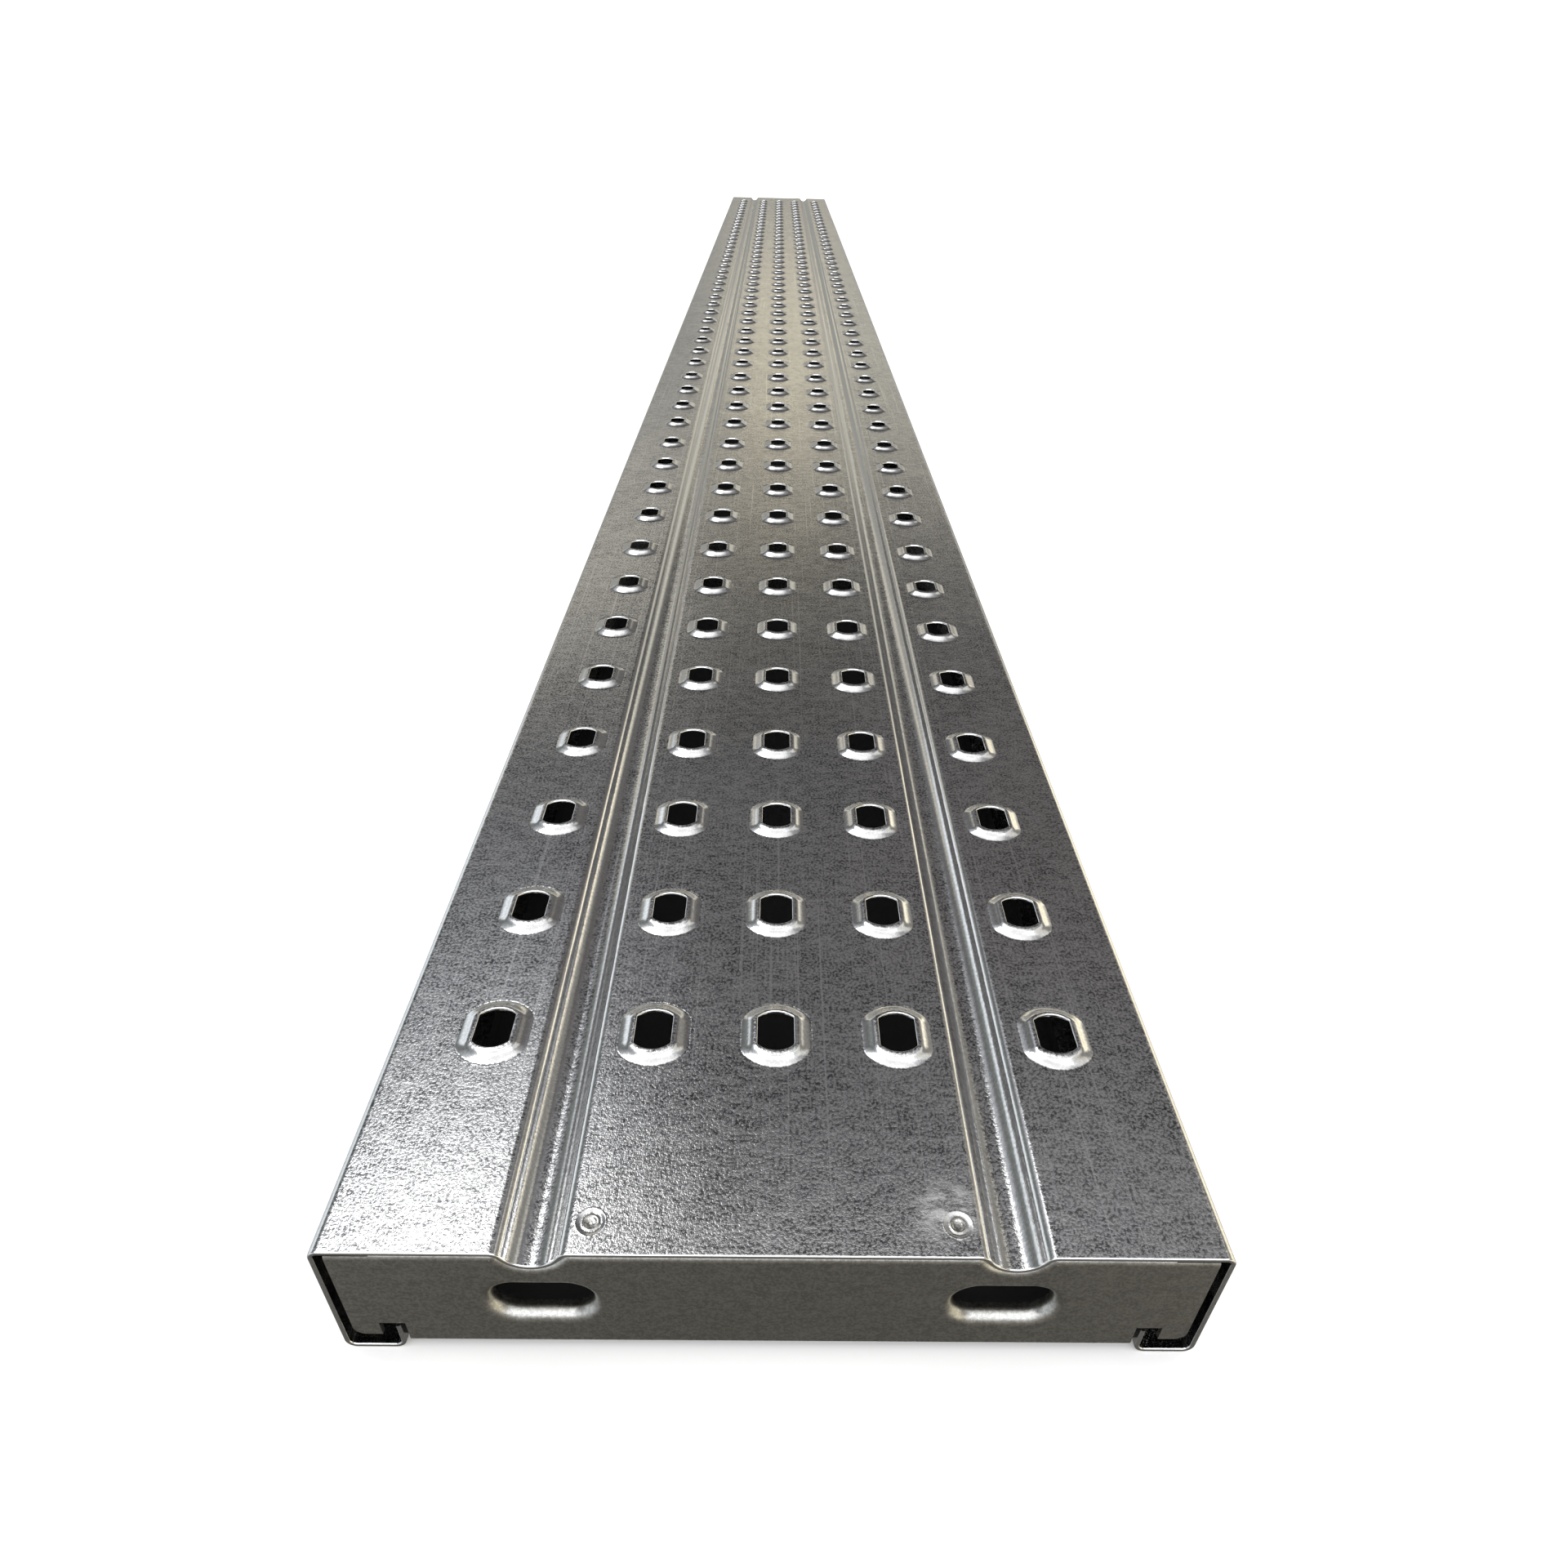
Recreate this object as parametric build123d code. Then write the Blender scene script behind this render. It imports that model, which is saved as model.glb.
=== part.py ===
from build123d import *
from math import atan, cos, degrees, hypot, radians, tan
import os

# Galvanised steel scaffold plank: a roll-formed deck panel, two pressed end caps and
# five cross ribs, held together by spot welds and weld beads.
#
# Frame: millimetres, +Z up, X across the plank, Y along it. The origin is on the floor
# under the middle of the plank, and the "near" end is the one at -Y.

# Deck panel: overall size and sheet
LENGTH = 3000.0
WIDTH = 250.0
HEIGHT = 50.0                # undersides of the bottom flanges to the deck surface
SHEET = 1.5
CORNER_R = 3.0               # outer radius of the two long deck corners
FLANGE_R = 3.5               # outer radius of the bottom flange bends
LIP_X = 107.0                # face of the return lip that looks at the centre line
LIP_HEIGHT = 12.0

# Two stiffening grooves rolled into the deck
GROOVE_X = 66.0
GROOVE_SLOPE = 58.0          # steepest angle of the groove's sides, degrees
SHOULDER_R = 4.0             # convex, where the deck turns down into the groove
BOTTOM_R = 8.5               # concave, along the groove's bottom
GROOVE_STRAIGHT = 0.3        # straight run between the two arcs

# Anti-slip holes: a circle with two flats, punched through a raised obround cone
HOLE_COLUMNS = (-92.0, -40.0, 0.0, 40.0, 92.0)
PUNCH_GROUPS = 12            # strokes of the punch along the plank
ROWS_PER_GROUP = 4
ROW_PITCH = 59.0
GROUP_PITCH = 240.0
FIRST_ROW = 76.0             # from the near end
HOLE_W, HOLE_L = 12.0, 16.5  # across the flats, and the circle's diameter
RIM_LAND = 1.0               # narrow flat between the cone's top and the hole's flats
DIMPLE_W, DIMPLE_L = 24.0, 27.5
DIMPLE_H = 2.6

# End caps
CAP_SHEET = 1.5
CAP_SETBACK = 0.3            # cap face behind the deck's cut edge
CAP_DEPTH = 22.0             # front face to the back edge of the top flange
CAP_HALF_W = 121.0
CAP_BOTTOM = 4.5             # lower edge above the floor
CAP_OUTER_BOTTOM = 7.0       # lower edge outside the return lips
CAP_CORNER_R = 3.5
CAP_TOP_R = 2.5              # outer radius of the bend into the top flange
CAP_FLANGE_HALF_W = 109.0    # the top flange stops short of the cap's corners
CAP_CORNER_GAP = 1.2         # opening between deck and cap outside the flange
NOTCH_INNER_X = 105.5        # the notch that clears the return lip
NOTCH_OUTER_X = 113.0
NOTCH_TOP = 13.2

# Slots in the end caps, each with a collar turned inwards
SLOT_X = 65.0
SLOT_W, SLOT_H = 35.5, 22.7
SLOT_MID_Z = 25.2
SLOT_R = 11.0
COLLAR_DEPTH = 5.0           # from the cap's front face
COLLAR_BEND = 3.5            # outer radius of the bend into the collar

# Spot welds between the deck and the cap's top flange
SPOT_X = 50.5
SPOT_SETBACK = 9.5           # from the deck's end
NUGGET_D = 5.0
CRATER_D = 4.4
CRATER_DEPTH = 0.35

# Cross ribs: open-topped channels in the wide gap after every second punch group
RIB_COUNT = 5
RIB_WIDTH = 30.0
RIB_SHEET = 1.5
RIB_BOTTOM = 3.0
RIB_BEND_R = 3.0
RIB_END_GAP = 0.4            # between a rib's end and the side wall
RIB_LIP_CLEARANCE = 1.0
RIB_TOP_CHAMFER = 3.5        # clears the bend of the deck's corner
BEAD_LEG = 3.0               # leg length of the weld beads
WALL_BEAD_BOTTOM, WALL_BEAD_TOP = 20.0, 40.0
GROOVE_BEAD_LENGTH = 12.0

DECK_UNDERSIDE = HEIGHT - SHEET
WALL_INSIDE = WIDTH / 2 - SHEET
NEAR_END = -LENGTH / 2
CAP_FACE = NEAR_END + CAP_SETBACK


GROOVE_RADII = (SHOULDER_R, BOTTOM_R, SHOULDER_R)
TO_UNDERSIDE = (-1, 1, -1)   # a convex bend tightens below the surface, a concave one opens


def groove_corners(centre, depth):
    """Corner points of one groove at some depth in the sheet, before rounding."""
    slope = radians(GROOVE_SLOPE)
    sloped = SHOULDER_R * tan(slope / 2) + BOTTOM_R * tan(slope) + GROOVE_STRAIGHT
    half_width = sloped * cos(slope)
    bottom = HEIGHT - half_width * tan(slope) - depth / cos(slope)
    half_width += depth * tan(slope / 2)
    top = HEIGHT - depth
    return [(centre - half_width, top), (centre, bottom), (centre + half_width, top)]


def groove_radii(depth):
    """Bend radii of one groove at some depth in the sheet."""
    return [radius + sign * depth for radius, sign in zip(GROOVE_RADII, TO_UNDERSIDE)]


def deck_line(depth, half_width):
    """The deck's section line at some depth below its surface, grooves included."""
    top = HEIGHT - depth
    points = [(-half_width, top), *groove_corners(-GROOVE_X, depth),
              *groove_corners(GROOVE_X, depth), (half_width, top)]
    return FilletPolyline(*points, radius=groove_radii(depth) * 2)


def sheet_line(depth):
    """The whole section's line, lip to lip, at some depth inside its outer surface."""
    half, top, lip = WIDTH / 2 - depth, HEIGHT - depth, LIP_X + depth
    points = [(-lip, LIP_HEIGHT), (-lip, depth), (-half, depth), (-half, top),
              *groove_corners(-GROOVE_X, depth), *groove_corners(GROOVE_X, depth),
              (half, top), (half, depth), (lip, depth), (lip, LIP_HEIGHT)]
    folds = [FLANGE_R - depth, FLANGE_R - depth, CORNER_R - depth]
    return FilletPolyline(*points, radius=folds + groove_radii(depth) * 2 + folds[::-1])


def deck_sheet():
    """The roll-formed section over the full length, without holes."""
    outside, inside = sheet_line(0), sheet_line(SHEET)
    ends = [Line(outside @ 0, inside @ 0), Line(outside @ 1, inside @ 1)]
    section = make_face(outside.edges() + inside.edges() + ends)
    return extrude(Plane.XZ * section, amount=LENGTH / 2, both=True)


def row_positions():
    """Y of every row of holes, from the near end towards the far one."""
    return [FIRST_ROW - LENGTH / 2 + group * GROUP_PITCH + row * ROW_PITCH
            for group in range(PUNCH_GROUPS) for row in range(ROWS_PER_GROUP)]


def cone(base_z):
    """The obround cone of one raised hole, standing on base_z."""
    rise = degrees(atan((DIMPLE_W / 2 - HOLE_W / 2 - RIM_LAND) / DIMPLE_H))
    base = Pos(0, 0, base_z) * SlotOverall(DIMPLE_L, DIMPLE_W, rotation=90)
    return extrude(base, amount=DIMPLE_H, taper=rise)


def spot_weld_places():
    """Where the two spot welds of the near cap stand, in plan."""
    return [Pos(side * SPOT_X, NEAR_END + SPOT_SETBACK, 0) for side in (-1, 1)]


def nugget():
    """One spot weld through the deck and the cap's flange, with a dished top."""
    height = SHEET + CAP_SHEET
    slug = Pos(0, 0, HEIGHT - height / 2) * Cylinder(NUGGET_D / 2, height)
    dish_r = (CRATER_D ** 2 / 4 + CRATER_DEPTH ** 2) / (2 * CRATER_DEPTH)
    return slug - Pos(0, 0, HEIGHT + dish_r - CRATER_DEPTH) * Sphere(dish_r)


def cap_nuggets():
    return Compound([place * nugget() for place in spot_weld_places()])


def nugget_holes():
    """What the spot welds take up of the sheets they join."""
    return [place * Pos(0, 0, HEIGHT) * Cylinder(NUGGET_D / 2, HEIGHT / 2)
            for place in spot_weld_places()]


def deck_panel():
    places = [Pos(x, y, 0) for y in row_positions() for x in HOLE_COLUMNS]
    hole_outline = Circle(HOLE_L / 2) & Rectangle(HOLE_W, HOLE_L)
    hole = extrude(Pos(0, 0, HEIGHT) * hole_outline, amount=3 * DIMPLE_H, both=True)
    hollow = cone(DECK_UNDERSIDE) + hole
    panel = deck_sheet() + [place * cone(HEIGHT) for place in places]
    panel -= [place * hollow for place in places]
    spots = nugget_holes()
    return panel - spots - [at_far_end(spot) for spot in spots]


def at_far_end(shape):
    return mirror(shape, about=Plane.XZ)


def under_deck(depth, half_width, bottom, start, end):
    """The space below the deck's surface, grooves included, down to a flat bottom.

    depth is measured square to the deck's surface; start and end are the space's Y.
    """
    top = deck_line(depth, half_width)
    sides = Polyline(top @ 0, (-half_width, bottom), (half_width, bottom), top @ 1)
    section = make_face(top.edges() + sides.edges())
    return Pos(0, end, 0) * extrude(Plane.XZ * section, amount=end - start)


def front_top_edges(block, y):
    """The edges along the top of a block's face at y, without its upright sides."""
    face_edges = block.edges().filter_by_position(Axis.Y, y - 0.01, y + 0.01)
    return face_edges.filter_by_position(Axis.Z, 0.75 * HEIGHT, HEIGHT)


def box_between(low, high):
    size = [b - a for a, b in zip(low, high)]
    middle = [(a + b) / 2 for a, b in zip(low, high)]
    return Pos(*middle) * Box(*size)


def cap_plate():
    """The cap's face and top flange, before the notches and slots."""
    back = NEAR_END + CAP_DEPTH
    outer = under_deck(SHEET, CAP_HALF_W, CAP_BOTTOM, CAP_FACE, back)
    outer = fillet(front_top_edges(outer, CAP_FACE), CAP_TOP_R)
    inner_face = CAP_FACE + CAP_SHEET
    inner = under_deck(SHEET + CAP_SHEET, CAP_HALF_W, 0, inner_face, back)
    return outer - fillet(front_top_edges(inner, inner_face), CAP_TOP_R - CAP_SHEET)


def cap_cutouts(side):
    """What is cut from one side of the cap: corner gap, outer bottom and lip notch."""
    front, back = CAP_FACE - 1, NEAR_END + CAP_DEPTH + 1
    beyond = CAP_HALF_W + 1
    corner_z = DECK_UNDERSIDE - CAP_CORNER_GAP
    cuts = [box_between((CAP_FLANGE_HALF_W, front, corner_z), (beyond, back, HEIGHT)),
            box_between((CAP_FLANGE_HALF_W, CAP_FACE + CAP_SHEET, 0), (beyond, back, HEIGHT)),
            box_between((NOTCH_INNER_X, front, 0), (beyond, back, CAP_OUTER_BOTTOM)),
            box_between((NOTCH_INNER_X, front, 0), (NOTCH_OUTER_X, back, NOTCH_TOP))]
    return [mirror(cut, about=Plane.YZ) if side < 0 else cut for cut in cuts]


def slot_outline(grow):
    """A slot's outline on the cap's face, grown by some distance all round."""
    return RectangleRounded(SLOT_W + 2 * grow, SLOT_H + 2 * grow, SLOT_R + grow)


def slot_prism(grow, start, end):
    """The outline drawn out along Y, for a slot on the centre line."""
    return Pos(0, end, SLOT_MID_Z) * extrude(Plane.XZ * slot_outline(grow), amount=end - start)


def slot_edges(cap, y, grow):
    """The cap's edges at y that run round a slot, on its outline grown by some distance."""
    reach = SLOT_W / 2 + grow + 0.01
    return [edge for edge in cap.edges().filter_by_position(Axis.Y, y - 0.01, y + 0.01)
            if hypot(abs(edge.center().X) - SLOT_X, edge.center().Z - SLOT_MID_Z) < reach]


def end_cap():
    cap = cap_plate() - cap_cutouts(-1) - cap_cutouts(1)
    back, collar_end = CAP_FACE + CAP_SHEET, CAP_FACE + COLLAR_DEPTH
    inner_bend = COLLAR_BEND - CAP_SHEET
    collar = slot_prism(-inner_bend, back, collar_end)
    passage = slot_prism(-COLLAR_BEND, CAP_FACE - 1, collar_end + 1)
    for side in (-1, 1):
        cap = cap + Pos(side * SLOT_X, 0, 0) * collar
    cap = fillet(slot_edges(cap, back, -inner_bend), inner_bend)
    for side in (-1, 1):
        cap = cap - Pos(side * SLOT_X, 0, 0) * passage
    cap = fillet(slot_edges(cap, CAP_FACE, -COLLAR_BEND), COLLAR_BEND)
    corners = [edge for edge in cap.edges().filter_by(Axis.Y)
               if abs(abs(edge.center().X) - CAP_HALF_W) < 0.01 and edge.center().Z < HEIGHT / 2]
    return fillet(corners, CAP_CORNER_R) - nugget_holes()


def rib_positions():
    """Y of each rib: the middle of the gap after every second punch group."""
    first = FIRST_ROW + NEAR_END + 2 * GROUP_PITCH
    last_row_to_next = GROUP_PITCH - (ROWS_PER_GROUP - 1) * ROW_PITCH
    return [first - last_row_to_next / 2 + 2 * GROUP_PITCH * index for index in range(RIB_COUNT)]


def cross_rib():
    """One rib across the origin: legs up to the deck, web at the bottom."""
    half_width, half_length = RIB_WIDTH / 2, WALL_INSIDE - RIB_END_GAP
    block = under_deck(SHEET, half_length, RIB_BOTTOM, -half_width, half_width)
    long_edges = block.edges().filter_by(Axis.X).group_by(Axis.Z)[0]
    block = fillet(long_edges, RIB_BEND_R)
    leg = half_width - RIB_SHEET
    hollow = box_between((-WIDTH, -leg, RIB_BOTTOM + RIB_SHEET), (WIDTH, leg, 2 * HEIGHT))
    bottom_edges = hollow.edges().filter_by(Axis.X).group_by(Axis.Z)[0]
    rib = block - fillet(bottom_edges, RIB_BEND_R - RIB_SHEET)
    lip_clear = box_between((LIP_X - RIB_LIP_CLEARANCE, -WIDTH, 0),
                            (WIDTH, WIDTH, LIP_HEIGHT + RIB_LIP_CLEARANCE))
    corner = Pos(half_length, 0, DECK_UNDERSIDE) * Rot(0, 45, 0) * Box(
        RIB_TOP_CHAMFER * 2 ** 0.5, WIDTH, RIB_TOP_CHAMFER * 2 ** 0.5)
    for cut in (lip_clear, corner):
        rib = rib - cut - mirror(cut, about=Plane.YZ)
    return rib


def rib_beads():
    """The beads on one rib: four up the side walls and four under the grooves."""
    half_width = RIB_WIDTH / 2
    reach = RIB_END_GAP + BEAD_LEG
    triangle = make_face(Polyline((WALL_INSIDE, half_width), (WALL_INSIDE - reach, half_width),
                                  (WALL_INSIDE, half_width + BEAD_LEG), close=True))
    wall = Pos(0, 0, WALL_BEAD_BOTTOM) * extrude(triangle, amount=WALL_BEAD_TOP - WALL_BEAD_BOTTOM)
    groove_bottom = deck_line(SHEET, WALL_INSIDE).bounding_box().min.Y
    round_bead = Pos(GROOVE_X, half_width, groove_bottom) * Rot(0, 90, 0) * Cylinder(
        BEAD_LEG, GROOVE_BEAD_LENGTH)
    outside = under_deck(SHEET, WALL_INSIDE, RIB_BOTTOM, half_width, half_width + 2 * BEAD_LEG)
    quarter = [wall, (round_bead & outside).solid()]
    half = quarter + [mirror(bead, about=Plane.YZ) for bead in quarter]
    return Compound(half + [mirror(bead, about=Plane.XZ) for bead in half])


def parts():
    nodes = {"deck_panel": deck_panel()}
    for name, shape in (("end_cap", end_cap()), ("cap_spot_welds", cap_nuggets())):
        nodes[name + "_near"] = shape
        nodes[name + "_far"] = at_far_end(shape)
    rib, beads = cross_rib(), rib_beads()
    for number, y in enumerate(rib_positions(), start=1):
        nodes[f"cross_rib_{number}"] = Pos(0, y, 0) * rib
        nodes[f"rib_{number}_weld_beads"] = Pos(0, y, 0) * beads
    return nodes


os.makedirs("parts", exist_ok=True)
for node, shape in parts().items():
    export_step(shape, f"parts/{node}.step")
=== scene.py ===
"""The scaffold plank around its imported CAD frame: a detailed deck sheet and spot welds in
place of the plain CAD ones, galvanised-steel materials and a soft light."""
import math

import bpy
from mathutils import Matrix, Vector
from mathutils.geometry import delaunay_2d_cdt


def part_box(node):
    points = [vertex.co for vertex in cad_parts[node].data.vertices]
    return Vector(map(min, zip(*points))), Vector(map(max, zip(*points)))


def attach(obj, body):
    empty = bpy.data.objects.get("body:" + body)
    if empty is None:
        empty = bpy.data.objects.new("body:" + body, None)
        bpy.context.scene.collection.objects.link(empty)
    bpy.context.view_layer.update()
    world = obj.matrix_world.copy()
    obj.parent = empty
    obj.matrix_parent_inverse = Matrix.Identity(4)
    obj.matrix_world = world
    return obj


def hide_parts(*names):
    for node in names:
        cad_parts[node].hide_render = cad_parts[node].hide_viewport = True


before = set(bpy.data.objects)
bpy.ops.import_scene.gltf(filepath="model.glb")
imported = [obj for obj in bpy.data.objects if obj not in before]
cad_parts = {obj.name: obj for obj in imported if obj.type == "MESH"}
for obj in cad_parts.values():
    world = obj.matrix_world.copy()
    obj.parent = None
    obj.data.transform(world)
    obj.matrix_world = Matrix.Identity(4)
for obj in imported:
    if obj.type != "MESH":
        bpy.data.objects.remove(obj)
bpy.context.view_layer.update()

BODY = "root"
MM = 0.001

# Deck section and sheet; lengths are in millimetres unless a comment says metres
DECK_BOX = [[value / MM for value in corner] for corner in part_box("deck_panel")]
LENGTH = DECK_BOX[1][1] - DECK_BOX[0][1]
WIDTH = DECK_BOX[1][0] - DECK_BOX[0][0]
HEIGHT = 50.0
SHEET = 1.5
CORNER_R, FLANGE_R = 3.0, 3.5
LIP_X, LIP_HEIGHT = 107.0, 12.0
GROOVE_X, GROOVE_SLOPE, GROOVE_STRAIGHT = 66.0, math.radians(58.0), 0.3
SHOULDER_R, BOTTOM_R = 4.0, 8.5
ROLL_HIGHLIGHT_OFFSET = 14.0             # painted highlight line beside each groove where the rollers bent the sheet, from its middle
CUT_ROUND, CUT_STEPS = 0.5, 4   # rounding of the sheet's cut ends
ARC_STEP = math.radians(9.0)
FLAT_MIN_W = 30.0            # narrower level strips have no holes or welds in them
MERGE_WITHIN = 1e-4

# Raised holes
HOLE_COLUMNS = (-92.0, -40.0, 0.0, 40.0, 92.0)
PUNCH_GROUPS, ROWS_PER_GROUP = 12, 4
ROW_PITCH, GROUP_PITCH, FIRST_ROW = 59.0, 240.0, 76.0
HOLE_HALF_W, HOLE_R, HOLE_CORNER_R = 6.0, 8.25, 1.2
CORNER_STEPS, END_STEPS = 3, 7
END_SPREAD = 0.917           # the raised lip is narrower at a hole's round ends
# Distance out from the hole's edge and height above the deck, over the lip and under it
DIMPLE_PROFILE = ((6.8, 0.0), (6.35, 0.26), (5.9, 0.03), (5.2, 0.2), (4.0, 0.74), (2.75, 1.33),
                  (2.35, 1.68), (0.35, 2.5), (0.0, 2.35), (0.0, 1.1), (6.2, -1.5))
DIMPLE_SHARP = (9,)

# Spot welds
SPOT_X, SPOT_SETBACK, SPOT_R = 50.5, 9.5, 2.5
SPOT_PROFILE = ((2.2, 0.0), (1.8, 0.16), (1.4, 0.12), (0.9, -0.18), (0.3, -0.3), (0.0, -0.24),
                (0.0, -1.5))
SPOT_SHARP = (5, 6)
NUGGET_PROFILE = ((2.5, -0.24), (2.1, -0.1), (1.7, -0.14), (1.3, -0.4), (0.6, -0.5))
SPOT_SIDES = 24

# Zinc coating: features to the metre, stretches of the textures, depth of relief in metres
SPECKLE_SCALE, PATCH_SCALE, CLOUD_SCALE = 1000.0, 170.0, 22.0
PATCH_STRETCH, DRAWN_STRETCH = (1.0, 2.2, 2.2), (850.0, 4.0, 300.0)
RELIEF_DEPTH, PATCH_RELIEF = 0.00009, 0.3
PATCH_ROUGHNESS = 0.07
# Slopes pressed steeper than this (as the height of the normal) are burnished
LEVEL_ABOVE, BURNISHED_BELOW = 0.985, 0.93
BURNISH, BURNISHED_TONE = 0.65, 0.75
ROLL_HIGHLIGHT_EDGE, ROLL_HIGHLIGHT_CORE = 0.0005, 0.0001   # half widths of the painted highlight on a roller line, in metres
# A rubbed patch beside a spot weld: its centre and half sizes in metres
RUBBED_AT, RUBBED_SIZE = (0.049, -1.486), (0.015, 0.013)
RUBBED_SCALE = (1 / RUBBED_SIZE[0], 1 / RUBBED_SIZE[1], 0.0)
RUBBED_OFFSET = (-RUBBED_AT[0] * RUBBED_SCALE[0], -RUBBED_AT[1] * RUBBED_SCALE[1], 0.0)
RUBBED_ROUGHNESS, RUBBED_TONE = 0.30, 0.6

# Studio, in metres
TENT_REACH, TENT_RINGS, TENT_SIDES, TENT_STRENGTH = 14.0, 12, 64, 1.8
# SHADOW_SHADE is the grey of the painted shadow strip under the plank
FLOOR_SHADE, SHADOW_SHADE, FLOOR_ROUGHNESS = 0.86, 0.04, 0.9
SHADOW_HALF_W, SHADOW_HALF_L, SHADOW_RISE = 0.121, 1.496, 0.0002

# Camera: place in millimetres; yaw, pitch and roll in degrees
LENS, SENSOR, NEAREST = 23.0, 36.0, 0.01
CAMERA_AT, CAMERA_TURN = (-3.4, -1646.8, 306.8), (-1.04, -34.98, -1.44)


class Sheet:
    """Collects points, faces and the shading normal at each face corner."""

    def __init__(self):
        self.points, self.faces, self.normals = [], [], []

    def point(self, x, y, z):
        self.points.append((x * MM, y * MM, z * MM))
        return len(self.points) - 1

    def face(self, corners, normals):
        self.faces.append(corners)
        self.normals.extend(normals)

    def piece(self, name, slot, replaced):
        mesh = bpy.data.meshes.new(name)
        mesh.from_pydata(self.points, [], self.faces)
        mesh.shade_smooth()
        mesh.normals_split_custom_set([Vector(n).normalized() for n in self.normals])
        made = bpy.data.objects.new(name, mesh)
        bpy.context.scene.collection.objects.link(made)
        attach(made, BODY)
        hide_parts(*replaced)
        return made


def rounded_line(corners, radii):
    """Points (x, z) and left-hand normals along a line with rounded corners."""
    spots = [Vector(corner) for corner in corners]
    steps = [(b - a).normalized() for a, b in zip(spots, spots[1:])]
    left = [Vector((-step.y, step.x)) for step in steps]
    line = [(spots[0], left[0])]
    for index, radius in enumerate(radii):
        before, after, corner = steps[index], steps[index + 1], spots[index + 1]
        turn = math.atan2(before.x * after.y - before.y * after.x, before.dot(after))
        reach = radius * math.tan(abs(turn) / 2)
        side = math.copysign(radius, turn)
        centre = corner - before * reach + left[index] * side
        count = max(2, math.ceil(abs(turn) / ARC_STEP))
        for k in range(count + 1):
            angle = turn * k / count
            normal = Matrix.Rotation(angle, 2) @ left[index]
            line.append((centre - normal * side, normal))
    line.append((spots[-1], left[-1]))
    return line


def section_line():
    """The outside of the rolled section from the left return lip to the right one."""
    sloped = (SHOULDER_R * math.tan(GROOVE_SLOPE / 2) + BOTTOM_R * math.tan(GROOVE_SLOPE)
              + GROOVE_STRAIGHT)
    half_width = sloped * math.cos(GROOVE_SLOPE)
    bottom = HEIGHT - sloped * math.sin(GROOVE_SLOPE)
    half = WIDTH / 2
    corners = [(-LIP_X, LIP_HEIGHT), (-LIP_X, 0), (-half, 0), (-half, HEIGHT)]
    for centre in (-GROOVE_X, GROOVE_X):
        corners += [(centre - half_width, HEIGHT), (centre, bottom), (centre + half_width, HEIGHT)]
    corners += [(half, HEIGHT), (half, 0), (LIP_X, 0), (LIP_X, LIP_HEIGHT)]
    folds = [FLANGE_R, FLANGE_R, CORNER_R]
    return rounded_line(corners, folds + [SHOULDER_R, BOTTOM_R, SHOULDER_R] * 2 + folds[::-1])


def row_positions():
    return [FIRST_ROW - LENGTH / 2 + group * GROUP_PITCH + row * ROW_PITCH
            for group in range(PUNCH_GROUPS) for row in range(ROWS_PER_GROUP)]


def stations(rows):
    """The sheet's cross lines as (y, inset, lean): its rounded ends and the middles
    between rows. Lean is how far the surface there has turned to face the end."""
    middles = [(a + b) / 2 for a, b in zip(rows, rows[1:])]
    inner = [rows[0] - ROW_PITCH / 2] + middles + [rows[-1] + ROW_PITCH / 2]
    turns = [math.pi / 2 * (1 - k / CUT_STEPS) for k in range(CUT_STEPS + 1)]
    near = [(CUT_ROUND * (1 - math.sin(turn)) - LENGTH / 2,
             CUT_ROUND * (1 - math.cos(turn)), -turn) for turn in turns]
    far = [(-y, inset, -lean) for y, inset, lean in reversed(near)]
    return near + [(y, 0.0, 0.0) for y in inner] + far


def hole_outline():
    """Points round the flatted hole as (arc centre x, y, arc radius, angle, spread)."""
    cx = HOLE_HALF_W - HOLE_CORNER_R
    cy = math.sqrt((HOLE_R - HOLE_CORNER_R) ** 2 - cx ** 2)
    edge = math.atan2(cy, cx)
    upper = []
    for k in range(CORNER_STEPS + 1):
        part = k / CORNER_STEPS
        upper.append((cx, cy, HOLE_CORNER_R, edge * part, 1 + (END_SPREAD - 1) * part))
    for k in range(1, END_STEPS):
        angle = edge + (math.pi - 2 * edge) * k / END_STEPS
        upper.append((0, 0, HOLE_R, angle, END_SPREAD))
    for x, y, radius, angle, spread in upper[CORNER_STEPS::-1]:
        upper.append((-x, y, radius, math.pi - angle, spread))
    return upper + [(-x, -y, radius, angle + math.pi, spread)
                    for x, y, radius, angle, spread in upper]


def round_outline(radius, sides):
    return [(0, 0, radius, 2 * math.pi * k / sides, 1) for k in range(sides)]


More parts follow.
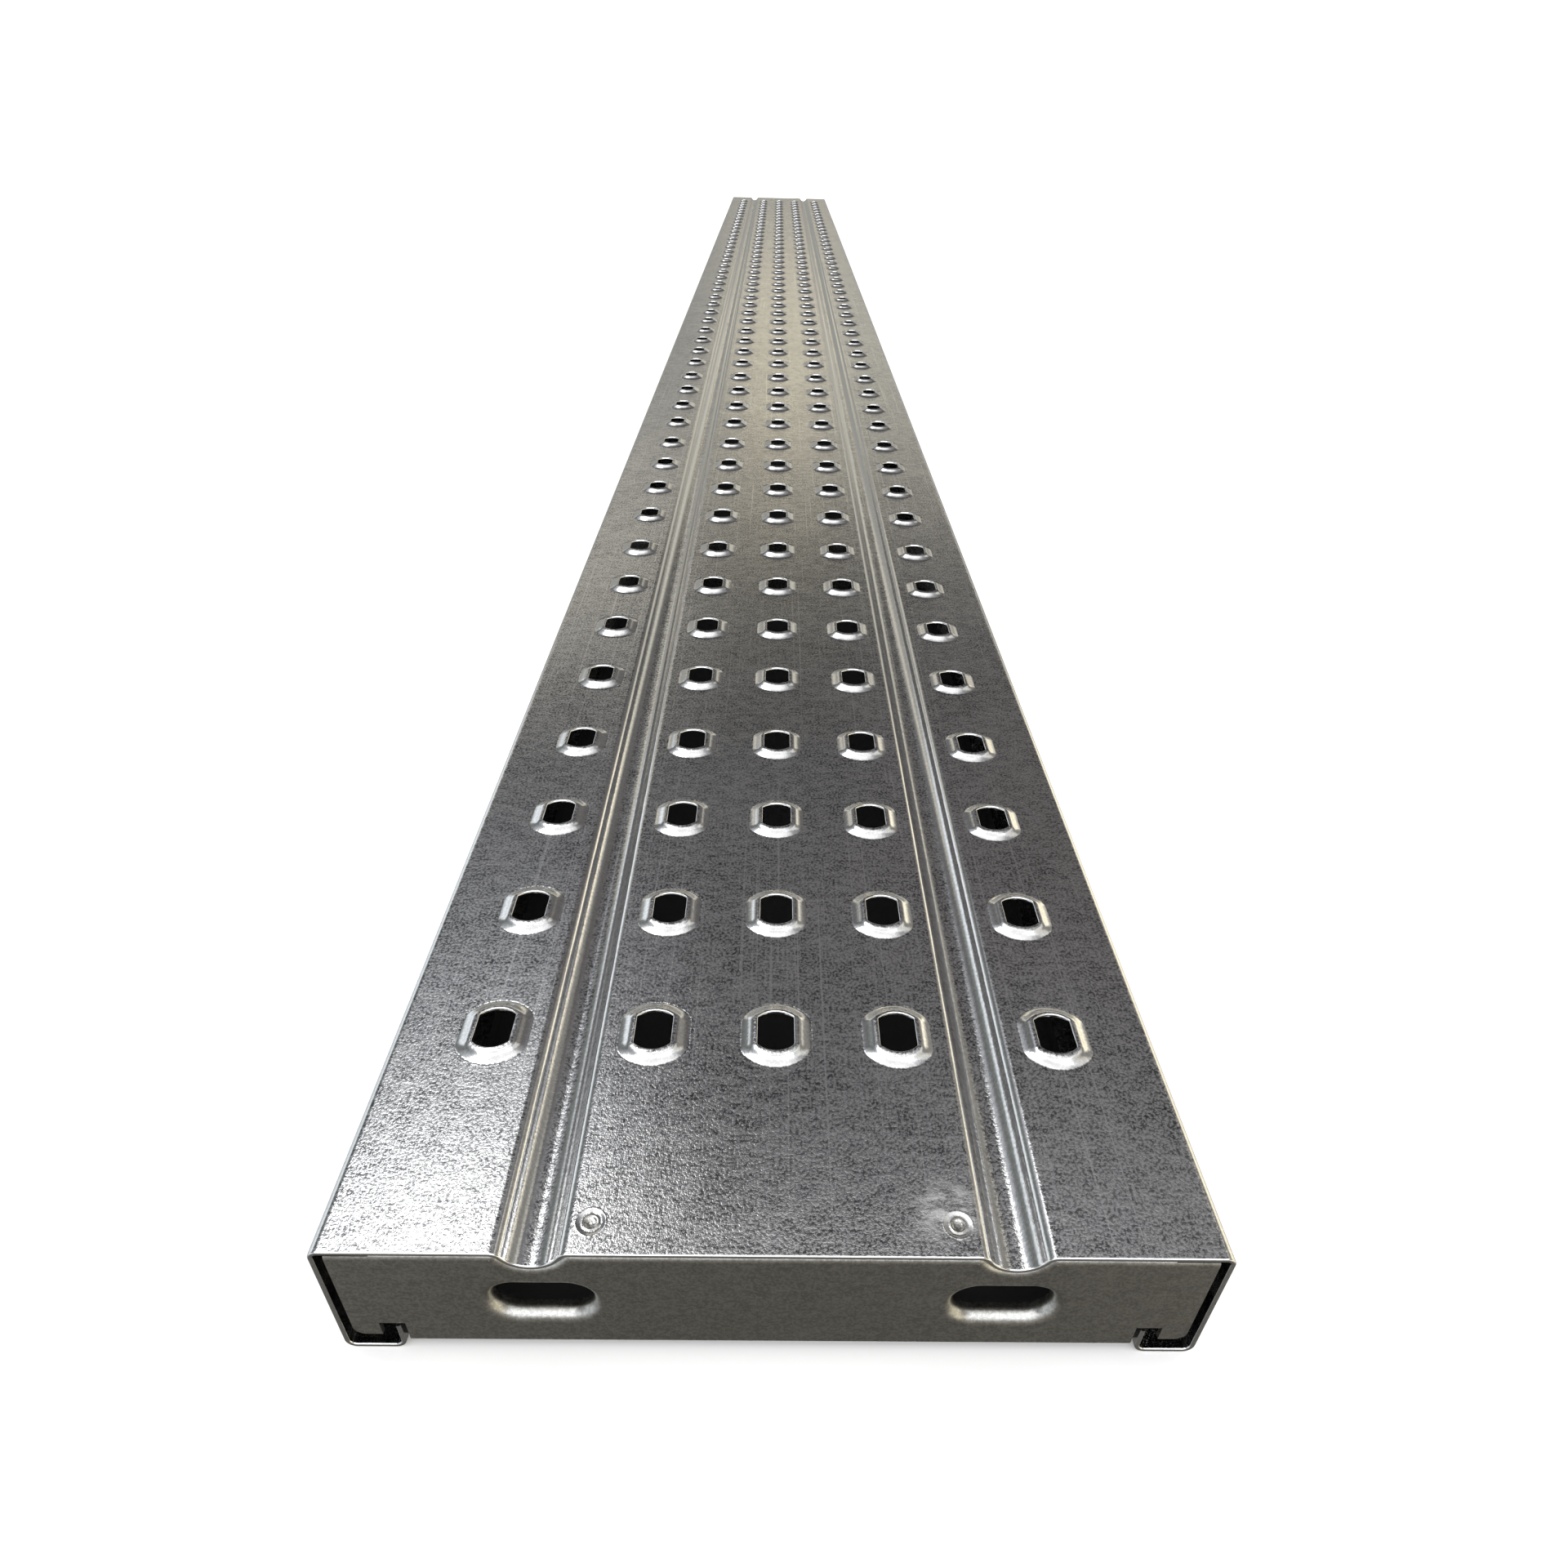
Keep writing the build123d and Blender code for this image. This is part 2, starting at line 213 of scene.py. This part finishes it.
def pressed_rings(sheet, centre, outline, profile, sharp=()):
    """Lofts a profile round an outline, and returns the first and last rings."""
    spots = [Vector(p) for p in profile]
    bands = [(b - a).normalized() for a, b in zip(spots, spots[1:])]
    # profiles run inwards over the top, so the outer side is to the right of travel
    face_normals = [(band.y, -band.x) for band in bands]
    rings, normals = [], []
    for x, y, radius, angle, spread in outline:
        out = Vector((math.cos(angle), math.sin(angle)))
        rings.append([sheet.point(centre[0] + x + out.x * (radius + p.x * spread),
                                  centre[1] + y + out.y * (radius + p.x * spread),
                                  HEIGHT + p.y) for p in spots])
        normals.append(out)

    def corner_normal(out, band, ring):
        if ring == 0:
            return (0, 0, 1)
        if ring == len(bands) and ring not in sharp:
            return (0, 0, -1)
        near = [band] if ring in sharp else [ring - 1, ring]
        d = sum(face_normals[b][0] for b in near)
        h = sum(face_normals[b][1] for b in near)
        return (out.x * d, out.y * d, h)

    count = len(rings)
    for k in range(count):
        a, b = rings[k], rings[(k + 1) % count]
        na, nb = normals[k], normals[(k + 1) % count]
        for band in range(len(bands)):
            sheet.face((a[band], b[band], b[band + 1], a[band + 1]),
                       [corner_normal(out, band, ring) for out, ring in
                        ((na, band), (nb, band), (nb, band + 1), (na, band + 1))])
    return [ring[0] for ring in rings], [ring[-1] for ring in rings]


def fill_flat(sheet, border, rings, up):
    """Fills a flat area between its border and the rings pressed into it."""
    loops = [border] + rings
    owner = [n for n, loop in enumerate(loops) for _ in loop]
    flat = [index for loop in loops for index in loop]
    edges, start = [], 0
    for loop in loops:
        edges += [(start + k, start + (k + 1) % len(loop)) for k in range(len(loop))]
        start += len(loop)
    spots = [Vector(sheet.points[index][:2]) / MM for index in flat]
    result = delaunay_2d_cdt(spots, edges, [], 0, MERGE_WITHIN)
    first = [originals[0] for originals in result[3]]
    for triangle in result[2]:
        owners = {owner[first[k]] for k in triangle}
        if len(owners) == 1 and owners != {0}:
            continue
        corners = [flat[first[k]] for k in triangle]
        a, b, c = (Vector(sheet.points[k][:2]) for k in corners)
        if ((b - a).cross(c - a) > 0) != up:
            corners.reverse()
        sheet.face(corners, [(0, 0, 1 if up else -1)] * 3)


def spot_places():
    return [(side * SPOT_X, end * (LENGTH / 2 - SPOT_SETBACK))
            for end in (-1, 1) for side in (-1, 1)]


def is_flat(start, end):
    """Whether two neighbouring points of the section bound a level part of the deck."""
    return start.y == end.y == HEIGHT and end.x - start.x > FLAT_MIN_W


def deck_sheet():
    """The rolled sheet with its raised holes and spot-weld marks pressed into it."""
    sheet = Sheet()
    line, rows = section_line(), row_positions()
    crossings = stations(rows)
    outer, inner, faces_out, faces_in = [], [], [], []
    for y, inset, lean in crossings:
        depth = SHEET - inset
        ahead = Vector((0, math.sin(lean), 0))
        upright = math.cos(lean)
        outer.append([sheet.point(p.x - n.x * inset, y, p.y - n.y * inset) for p, n in line])
        inner.append([sheet.point(p.x - n.x * depth, y, p.y - n.y * depth) for p, n in line])
        faces_out.append([ahead + Vector((n.x, 0, n.y)) * upright for p, n in line])
        faces_in.append([ahead - Vector((n.x, 0, n.y)) * upright for p, n in line])
    spans = range(len(line) - 1)
    flats = [i for i in spans if is_flat(line[i][0], line[i + 1][0])]
    last = len(crossings) - 1
    first_flat, last_flat = CUT_STEPS, last - CUT_STEPS

    for j in range(last):
        for i in spans:
            if i in flats and first_flat <= j < last_flat:
                continue
            around = ((j, i), (j, i + 1), (j + 1, i + 1), (j + 1, i))
            sheet.face([outer[a][b] for a, b in around], [faces_out[a][b] for a, b in around])
            around = around[::-1]
            sheet.face([inner[a][b] for a, b in around], [faces_in[a][b] for a, b in around])
        for i, flip in ((0, False), (len(line) - 1, True)):
            corners = [inner[j][i], outer[j][i], outer[j + 1][i], inner[j + 1][i]]
            sheet.face(corners[::-1] if flip else corners, [(0, 0, 1)] * 4)
    for j, normal in ((0, (0, -1, 0)), (last, (0, 1, 0))):
        for i in spans:
            corners = [outer[j][i], inner[j][i], inner[j][i + 1], outer[j][i + 1]]
            sheet.face(corners if j == 0 else corners[::-1], [normal] * 4)

    pressings = [((x, y), hole_outline(), DIMPLE_PROFILE, DIMPLE_SHARP)
                 for x in HOLE_COLUMNS for y in rows]
    pressings += [(place, round_outline(SPOT_R, SPOT_SIDES), SPOT_PROFILE, SPOT_SHARP)
                  for place in spot_places()]
    tops, unders = [], []
    for place, outline, profile, sharp in pressings:
        top, under = pressed_rings(sheet, place, outline, profile, sharp)
        tops.append((place[0], top))
        unders.append((place[0], under))
    for i in flats:
        low, high = line[i][0].x, line[i + 1][0].x
        for grid, rings, up in ((outer, tops, True), (inner, unders, False)):
            border = [grid[j][i] for j in range(first_flat, last_flat + 1)]
            border += [grid[j][i + 1] for j in range(last_flat, first_flat - 1, -1)]
            fill_flat(sheet, border, [ring for x, ring in rings if low < x < high], up)
    return sheet.piece("deck_sheet", "deck_zinc", ["deck_panel"])


def nuggets(end):
    """The two spot-weld nuggets at one end, dished where the electrode pressed."""
    sheet = Sheet()
    for x, y in spot_places():
        if y * end < 0:
            continue
        turns = [2 * math.pi * k / SPOT_SIDES for k in range(SPOT_SIDES)]
        depth = 2 * SHEET
        profile = [(SPOT_R, -depth)] + list(NUGGET_PROFILE)
        rings = [[sheet.point(x + across * math.cos(turn), y + across * math.sin(turn),
                              HEIGHT + height) for turn in turns]
                 for across, height in profile]
        middle = sheet.point(x, y, HEIGHT + profile[-1][1])
        under = sheet.point(x, y, HEIGHT - depth)
        for k in range(SPOT_SIDES):
            n = (k + 1) % SPOT_SIDES
            sheet.face((rings[0][n], rings[0][k], under), [(0, 0, -1)] * 3)
            sheet.face((rings[-1][k], rings[-1][n], middle), [(0, 0, 1)] * 3)
            for low, high in zip(rings, rings[1:]):
                corners = [Vector(sheet.points[p]) for p in (low[k], low[n], high[n], high[k])]
                normal = (corners[1] - corners[0]).cross(corners[3] - corners[0])
                sheet.face((low[k], low[n], high[n], high[k]), [normal] * 4)
    name = "near" if end < 0 else "far"
    return sheet.piece(f"nuggets_{name}", "spot_weld", [f"cap_spot_welds_{name}"])


class Nodes:
    """Short way to add linked nodes to a tree."""

    def __init__(self, tree):
        self.tree = tree
        tree.nodes.clear()

    def add(self, kind, settings=None, numbered=None, **named):
        """Adds a node. Its inputs, by number or name, are given as links or values."""
        node = self.tree.nodes.new(kind)
        for key, value in (settings or {}).items():
            setattr(node, key, value)
        values = dict(numbered or {})
        values.update((key.replace("_", " "), value) for key, value in named.items())
        for key, value in values.items():
            if hasattr(value, "node"):
                self.tree.links.new(value, node.inputs[key])
            else:
                node.inputs[key].default_value = value
        return node

    def math(self, operation, *values):
        return self.add("ShaderNodeMath", {"operation": operation},
                        dict(enumerate(values))).outputs[0]

    def scaled(self, where, scale, offset=(0.0, 0.0, 0.0)):
        return self.add("ShaderNodeMapping", Vector=where, Location=offset,
                        Scale=scale).outputs[0]

    def split(self, vector):
        return self.add("ShaderNodeSeparateXYZ", Vector=vector).outputs

    def noise(self, where, scale, detail, roughness):
        return self.add("ShaderNodeTexNoise", Vector=where, Scale=scale, Detail=detail,
                        Roughness=roughness).outputs[0]

    def between(self, value, low, high, to_low=0.0, to_high=1.0):
        """Smooth step from one value to another."""
        node = self.add("ShaderNodeMapRange", {"interpolation_type": "SMOOTHSTEP"}, Value=value,
                        From_Min=low, From_Max=high, To_Min=to_low, To_Max=to_high)
        return node.outputs[0]

    def ramp(self, value, stops):
        node = self.add("ShaderNodeValToRGB", Fac=value)
        elements = node.color_ramp.elements
        elements.remove(elements[0])
        elements[0].position, elements[0].color = stops[0][0], (*stops[0][1], 1.0)
        for position, shade in stops[1:]:
            elements.new(position).color = (*shade, 1.0)
        return node.outputs[0]

    def mix(self, factor, a, b):
        """Blends two linked colours."""
        return self.add("ShaderNodeMix", {"data_type": "RGBA"},
                        {0: factor, 6: a, 7: b}).outputs[2]


def roller_lines_painted_highlight(n, where, patch):
    """Faint broken lines that the rollers left beside the grooves, painted bright as a highlight
    where the bent sheet would catch the light.
    """
    from_middle = n.math("ABSOLUTE", n.split(where)["X"])
    from_groove = n.math("ABSOLUTE", n.math("SUBTRACT", from_middle, GROOVE_X * MM))
    off_line = n.math("ABSOLUTE", n.math("SUBTRACT", from_groove, ROLL_HIGHLIGHT_OFFSET * MM))
    # painted highlight: a bright band along each roller line
    roll_highlight = n.between(off_line, ROLL_HIGHLIGHT_EDGE, ROLL_HIGHLIGHT_CORE, 0.0, 0.7)
    return n.math("MULTIPLY", roll_highlight, n.between(patch, 0.35, 0.6))


def rubbed_patch(n, where, patch):
    """Zinc rubbed dull beside the right-hand spot weld of the near end."""
    reach = n.add("ShaderNodeVectorMath", {"operation": "LENGTH"},
                  Vector=n.scaled(where, RUBBED_SCALE, RUBBED_OFFSET)).outputs["Value"]
    return n.math("MULTIPLY", n.between(reach, 1.0, 0.2), n.between(patch, 0.38, 0.55, 0.35, 1.0))


def zinc(name, dark, middle, light, rough, relief=1.0, rolled=False):
    """Hot-dip galvanised steel: fine speckle, patches across the strip, fine lines along it from
    its drawing. The rolled deck also has roller lines with a painted highlight on them, a rubbed
    patch and slopes burnished by pressing."""
    material = bpy.data.materials.new(name)
    material.use_nodes = True
    n = Nodes(material.node_tree)
    where = n.add("ShaderNodeTexCoord").outputs["Object"]
    speckle = n.noise(where, SPECKLE_SCALE, 2.0, 0.75)
    patch = n.noise(n.scaled(where, PATCH_STRETCH), PATCH_SCALE, 4.0, 0.65)
    cloud = n.noise(where, CLOUD_SCALE, 4.0, 0.6)
    drawn_and_roll_highlight = n.between(n.noise(n.scaled(where, DRAWN_STRETCH), 1.0, 2.0, 0.5), 0.62, 0.72)
    if rolled:
        # on the rolled deck these lines also carry the painted roller highlight
        drawn_and_roll_highlight = n.math("MAXIMUM", drawn_and_roll_highlight, roller_lines_painted_highlight(n, where, patch))

    tone = n.math("ADD", n.math("MULTIPLY", n.between(speckle, 0.42, 0.58), 0.60),
                  n.math("MULTIPLY", n.between(patch, 0.36, 0.64), 0.28))
    tone = n.math("ADD", tone, n.math("MULTIPLY", n.between(cloud, 0.3, 0.7), 0.12))
    tone = n.math("ADD", tone, n.between(speckle, 0.66, 0.72, 0.0, 0.5))
    tone = n.math("ADD", tone, n.math("MULTIPLY", drawn_and_roll_highlight, 0.45))
    roughness = n.math("MULTIPLY_ADD", n.between(patch, 0.3, 0.7), PATCH_ROUGHNESS * relief, rough)
    height = n.math("ADD", speckle, n.math("MULTIPLY", patch, PATCH_RELIEF))
    if rolled:
        rubbed = rubbed_patch(n, where, patch)
        roughness = n.math("ADD", roughness, n.math("MULTIPLY", rubbed, RUBBED_ROUGHNESS))
        tone = n.math("ADD", tone, n.math("MULTIPLY", rubbed, RUBBED_TONE))
        normal = n.add("ShaderNodeNewGeometry").outputs["Normal"]
        pressed = n.between(n.split(normal)["Z"], LEVEL_ABOVE, BURNISHED_BELOW)
        even = n.math("MULTIPLY", pressed, BURNISH)
        kept = n.math("SUBTRACT", 1.0, even)
        tone = n.math("ADD", n.math("MULTIPLY", tone, kept),
                      n.math("MULTIPLY", even, BURNISHED_TONE))
        height = n.math("MULTIPLY", height, kept)
    shade = n.ramp(tone, [(0.0, dark), (0.5, middle), (1.0, light)])
    bump = n.add("ShaderNodeBump", Height=height, Strength=1.0,
                 Distance=RELIEF_DEPTH * relief).outputs[0]
    surface = n.add("ShaderNodeBsdfPrincipled", Base_Color=shade, Roughness=roughness,
                    Metallic=1.0, Normal=bump)
    n.add("ShaderNodeOutputMaterial", Surface=surface.outputs[0])
    return material


def paint(piece, material):
    piece.data.materials.clear()
    piece.data.materials.append(material)


def stage_piece(name, points, faces, settings):
    mesh = bpy.data.meshes.new(name)
    mesh.from_pydata(points, [], faces)
    mesh.shade_smooth()
    made = bpy.data.objects.new(name, mesh)
    bpy.context.scene.collection.objects.link(made)
    material = bpy.data.materials.new(name)
    material.use_nodes = True
    for socket, value in settings.items():
        material.node_tree.nodes["Principled BSDF"].inputs[socket].default_value = value
    paint(made, material)
    return made


def grey(value):
    return (value, value, value, 1.0)


def studio():
    """A pale floor inside a light tent, which the zinc doesn't mirror. The strip under the plank
    is a painted
    shadow: dark, and mirrored by the zinc, so the hollow under the deck stays black."""
    turns = [2 * math.pi * k / TENT_SIDES for k in range(TENT_SIDES)]
    circle = [(TENT_REACH * math.cos(turn), TENT_REACH * math.sin(turn)) for turn in turns]
    floor = stage_piece("floor", [(x, y, 0.0) for x, y in circle], [tuple(range(TENT_SIDES))],
                        {"Base Color": grey(FLOOR_SHADE), "Roughness": FLOOR_ROUGHNESS})
    points, faces = [], []
    for ring in range(TENT_RINGS):
        rise = math.pi / 2 * ring / TENT_RINGS
        points += [(x * math.cos(rise), y * math.cos(rise), TENT_REACH * math.sin(rise))
                   for x, y in circle]
    top = len(points)
    points.append((0.0, 0.0, TENT_REACH))
    for k in range(TENT_SIDES):
        n = (k + 1) % TENT_SIDES
        faces += [(a + k, a + n, a + n + TENT_SIDES, a + k + TENT_SIDES)
                  for a in range(0, (TENT_RINGS - 1) * TENT_SIDES, TENT_SIDES)]
        faces.append((top - TENT_SIDES + k, top - TENT_SIDES + n, top))
    tent = stage_piece("light_tent", points, faces,
                       {"Base Color": grey(0.0), "Emission Color": grey(1.0),
                        "Emission Strength": TENT_STRENGTH})
    for made in (floor, tent):
        made.visible_glossy = False
    # painted shadow: a dark strip on the floor under the plank, which the zinc mirrors
    corners = [(side * SHADOW_HALF_W, end * SHADOW_HALF_L, SHADOW_RISE)
               for side, end in ((-1, -1), (1, -1), (1, 1), (-1, 1))]
    stage_piece("painted_shadow_floor", corners, [(0, 1, 2, 3)],
                {"Base Color": grey(SHADOW_SHADE), "Roughness": FLOOR_ROUGHNESS})


# What the zinc mirrors: height (sine of elevation) and shade
LEFT_LANE = [(0.0, (0.34, 0.34, 0.32)), (0.14, (0.33, 0.33, 0.31)), (0.28, (0.36, 0.35, 0.33)),
             (0.33, (0.55, 0.52, 0.46)), (0.37, (0.75, 0.71, 0.61)), (0.42, (0.34, 0.33, 0.31)),
             (0.47, (0.16, 0.16, 0.16)), (0.56, (0.135, 0.135, 0.14)),
             (0.63, (0.19, 0.19, 0.20)), (0.70, (0.40, 0.41, 0.43)), (0.77, (0.55, 0.57, 0.60)),
             (0.80, (0.95, 0.97, 1.0)), (0.83, (3.0, 3.0, 3.05)), (0.87, (4.5, 4.5, 4.5)),
             (1.0, (1.6, 1.6, 1.6))]
CENTRE_LANE = [(0.0, (0.30, 0.30, 0.28)), (0.10, (0.30, 0.30, 0.28)), (0.14, (0.5, 0.48, 0.42)),
               (0.18, (1.35, 1.2, 0.9)), (0.22, (0.65, 0.61, 0.50)), (0.28, (0.62, 0.58, 0.46)),
               (0.33, (0.28, 0.26, 0.235)), (0.39, (0.12, 0.115, 0.105)),
               (0.50, (0.11, 0.11, 0.105)), (0.57, (0.15, 0.145, 0.15)),
               (0.72, (0.155, 0.15, 0.155)), (0.81, (0.15, 0.15, 0.155)),
               (0.86, (0.21, 0.21, 0.22)), (0.93, (0.75, 0.75, 0.76)), (1.0, (1.4, 1.4, 1.4))]
RIGHT_LANE = [(0.0, (0.33, 0.31, 0.29)), (0.12, (0.42, 0.41, 0.37)), (0.18, (0.62, 0.60, 0.53)),
              (0.26, (0.58, 0.55, 0.47)), (0.30, (0.28, 0.27, 0.24)),
              (0.36, (0.13, 0.125, 0.12)), (0.45, (0.15, 0.145, 0.145)),
              (0.56, (0.12, 0.11, 0.11)), (0.70, (0.15, 0.145, 0.145)),
              (0.80, (0.24, 0.24, 0.25)), (0.88, (0.36, 0.36, 0.37)), (1.0, (1.4, 1.4, 1.4))]
BEHIND = [(0.0, (0.35, 0.34, 0.33)), (0.15, (0.6, 0.6, 0.6)), (0.3, (1.9, 1.95, 2.05)),
          (0.8, (2.2, 2.25, 2.35)), (0.95, (1.1, 1.1, 1.12)), (1.0, (1.0, 1.0, 1.0))]
# The sides and what lies below, from straight down (0) through level (0.5) to straight up
EAST = [(0.0, (0.12, 0.12, 0.11)), (0.24, (0.35, 0.33, 0.28)), (0.30, (0.95, 0.88, 0.68)),
        (0.5, (1.15, 1.05, 0.80)), (0.59, (1.3, 1.18, 0.92)), (0.63, (0.66, 0.63, 0.56)),
        (0.68, (0.26, 0.25, 0.23)), (0.78, (0.26, 0.25, 0.23)), (0.84, (0.7, 0.68, 0.62)),
        (0.9, (0.8, 0.8, 0.78)), (1.0, (1.4, 1.4, 1.4))]
WEST = [(0.0, (0.12, 0.12, 0.12)), (0.22, (0.42, 0.44, 0.46)), (0.32, (0.66, 0.70, 0.74)),
        (0.5, (0.72, 0.76, 0.80)), (0.58, (0.95, 1.0, 1.06)), (0.64, (0.8, 0.84, 0.88)),
        (0.69, (0.22, 0.235, 0.23)), (0.78, (0.16, 0.17, 0.165)), (0.86, (0.35, 0.37, 0.39)),
        (1.0, (1.4, 1.4, 1.4))]
BELOW = [(0.0, (0.08, 0.08, 0.07)), (0.15, (0.16, 0.15, 0.14)), (0.3, (0.22, 0.21, 0.19)),
         (0.5, (0.34, 0.33, 0.31)), (1.0, (0.4, 0.39, 0.37))]


def room_light():
    """A soft room for the zinc to mirror: lanes of light overhead, warm to the right."""
    world = bpy.data.worlds.new("room")
    bpy.context.scene.world = world
    world.use_nodes = True
    n = Nodes(world.node_tree)
    direction = n.add("ShaderNodeTexCoord").outputs["Generated"]
    x, y, z = n.split(direction)
    level = n.math("MULTIPLY_ADD", z, 0.5, 0.5)
    lane = n.math("DIVIDE", x, n.math("MAXIMUM", z, 0.02))
    front = n.mix(n.between(lane, -0.35, -0.10), n.ramp(z, LEFT_LANE), n.ramp(z, CENTRE_LANE))
    front = n.mix(n.between(lane, 0.14, 0.36), front, n.ramp(z, RIGHT_LANE))
    shade = n.mix(n.between(y, -0.25, 0.12), n.ramp(z, BEHIND), front)
    shade = n.mix(n.between(z, -0.1, 0.02), n.ramp(level, BELOW), shade)
    shade = n.mix(n.between(x, 0.46, 0.6), shade, n.ramp(level, EAST))
    shade = n.mix(n.between(x, -0.46, -0.6), shade, n.ramp(level, WEST))
    background = n.add("ShaderNodeBackground", Color=shade, Strength=1.0)
    n.add("ShaderNodeOutputWorld", Surface=background.outputs[0])


def camera():
    """Just above the near end, looking down along the plank."""
    lens = bpy.data.cameras.new("camera")
    lens.lens, lens.sensor_width, lens.clip_start = LENS, SENSOR, NEAREST
    made = bpy.data.objects.new("camera", lens)
    yaw, pitch, roll = (math.radians(angle) for angle in CAMERA_TURN)
    turn = (Matrix.Rotation(yaw, 3, "Z") @ Matrix.Rotation(pitch, 3, "X")
            @ Matrix.Rotation(roll, 3, "Y"))
    upright = Matrix.Rotation(math.pi / 2, 3, "X")
    made.matrix_world = (Matrix.Translation(Vector(CAMERA_AT) * MM)
                         @ (turn @ upright).to_4x4())
    bpy.context.scene.collection.objects.link(made)
    bpy.context.scene.camera = made


deck_zinc = zinc("deck_zinc", (0.12, 0.12, 0.125), (0.77, 0.77, 0.765), (1.0, 1.0, 0.99),
                 0.06, rolled=True)
cap_zinc = zinc("cap_zinc", (0.46, 0.45, 0.42), (0.60, 0.59, 0.555), (0.72, 0.71, 0.67),
                0.34, relief=0.4)
rib_zinc = zinc("rib_zinc", (0.36, 0.36, 0.35), (0.60, 0.60, 0.59), (0.80, 0.80, 0.78), 0.28)
nugget_zinc = zinc("spot_weld", (0.35, 0.34, 0.32), (0.62, 0.61, 0.58), (0.8, 0.78, 0.74), 0.2)
bead_zinc = zinc("weld_metal", (0.30, 0.29, 0.28), (0.50, 0.49, 0.48), (0.7, 0.69, 0.67),
                 0.32, relief=2.5)

paint(deck_sheet(), deck_zinc)
for end in (-1, 1):
    paint(nuggets(end), nugget_zinc)
for node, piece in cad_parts.items():
    if node.startswith("end_cap"):
        paint(piece, cap_zinc)
    elif node.startswith("cross_rib"):
        paint(piece, rib_zinc)
    elif node.endswith("weld_beads"):
        paint(piece, bead_zinc)

studio()
room_light()
camera()
bpy.context.scene.view_settings.view_transform = "Standard"
